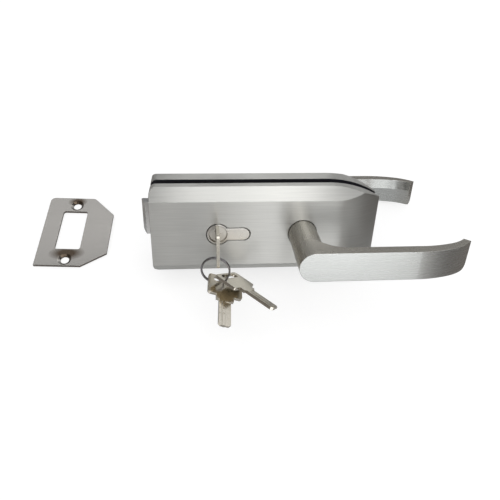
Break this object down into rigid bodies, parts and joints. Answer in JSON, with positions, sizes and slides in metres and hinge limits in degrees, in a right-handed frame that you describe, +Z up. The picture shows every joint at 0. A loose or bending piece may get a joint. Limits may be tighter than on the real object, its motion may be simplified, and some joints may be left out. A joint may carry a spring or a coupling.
{
  "type": "glass door lever lock",
  "caption": "Patch lock for a glass door: bevelled brushed steel covers, lever handles on both sides, bevelled latch, keyed profile cylinder, strike plate and a ring of keys.",
  "frame": {"origin": "bottom centre of the whole as it stands on a table", "axes": "+X along the lock from the strike plate to the lever's tip, +Y away from the keyed side, +Z up"},
  "size_m": [0.3332, 0.164, 0.0789],
  "materials": {
    "cover_steel": "fine horizontal brushing",
    "lever_steel": "fine brushing along the lever",
    "strike_steel": "brushed",
    "gasket_rubber": "matt black",
    "case_steel": "zinc plated",
    "screw_steel": "bright plated",
    "bush_nylon": "natural nylon",
    "spindle_steel": "plain",
    "hub_steel": "sintered",
    "spring_steel": "oiled",
    "latch_steel": "satin nickel",
    "cylinder_nickel": "satin nickel",
    "pin_brass": "turned",
    "key_nickel": "satin nickel silver",
    "ring_steel": "dark polished"
  },
  "bodies": {
    "lock": {"front_cover": "cover_steel", "rear_cover": "cover_steel", "front_gasket": "gasket_rubber", "rear_gasket": "gasket_rubber", "lock_case": "case_steel", "case_lid": "case_steel", "case_screws": "screw_steel", "cover_bolts": "screw_steel", "front_bush": "bush_nylon", "rear_bush": "bush_nylon", "lever_return_spring": "spring_steel", "latch_spring": "spring_steel", "latch_guide": "bush_nylon", "cylinder_body": "cylinder_nickel", "cylinder_screw": "screw_steel", "driver_pins": "pin_brass", "pin_springs": "spring_steel", "strike_plate": "strike_steel"},
    "lever_set": {"front_lever": "lever_steel", "rear_lever": "lever_steel", "spindle": "spindle_steel", "lever_grub_screws": "screw_steel", "lever_hub": "hub_steel"},
    "latch": {"latch_bolt": "latch_steel", "latch_tail": "case_steel"},
    "cylinder_core": {"cylinder_plug": "cylinder_nickel", "tumbler_pins": "pin_brass", "cylinder_cam": "hub_steel", "thumbturn": "cylinder_nickel"},
    "slide": {"locking_slide": "case_steel"},
    "fitted_key": {"key_in_lock": "key_nickel"},
    "ring": {"key_ring": "ring_steel"},
    "hanging_key": {"key_left": "key_nickel"},
    "spread_key": {"key_right": "key_nickel"}
  },
  "joints": [
    {"name": "lever_turn", "type": "hinge", "parent": "lock", "child": "lever_set", "pos_m": [0.04991, 0.01218, 0.03946], "axis": [0, 0.9129, -0.4081], "range_deg": [0, 45], "stiffness_Nm_per_rad": 1.2, "springref_deg": -28.65},
    {"name": "latch_draw", "type": "slide", "parent": "lock", "child": "latch", "axis": [1, 0, 0], "range_m": [0, 0.012], "deforming": ["latch_spring"]},
    {"name": "cylinder_turn", "type": "hinge", "parent": "lock", "child": "cylinder_core", "pos_m": [-0.01569, 0.01218, 0.03946], "axis": [0, 0.9129, -0.4081], "range_deg": [0, 180]},
    {"name": "slide_lift", "type": "slide", "parent": "lock", "child": "slide", "axis": [0, 0.4081, 0.9129], "range_m": [0, 0.006]},
    {"name": "key_pull", "type": "slide", "parent": "cylinder_core", "child": "fitted_key", "axis": [0, -0.9129, 0.4081], "range_m": [0, 0.022]},
    {"name": "ring_swing", "type": "hinge", "parent": "fitted_key", "child": "ring", "pos_m": [-0.01649, -0.03104, 0.05133], "axis": [1, 0, 0], "range_deg": [-60, 40]},
    {"name": "hanging_key_swing", "type": "hinge", "parent": "ring", "child": "hanging_key", "pos_m": [-0.01487, -0.03896, 0.03254], "axis": [0.9291, 0.0025, 0.3699], "range_deg": [-12, 0]},
    {"name": "spread_key_swing", "type": "hinge", "parent": "ring", "child": "spread_key", "pos_m": [-0.00967, -0.03801, 0.03671], "axis": [0.5349, 0.2649, 0.8023], "range_deg": [0, 16]}
  ],
  "couplings": [
    {"joint": "latch_draw", "follows": "lever_turn", "m_per_rad": 0.01527},
    {"joint": "slide_lift", "follows": "cylinder_turn", "m_per_rad": 0.001909}
  ]
}
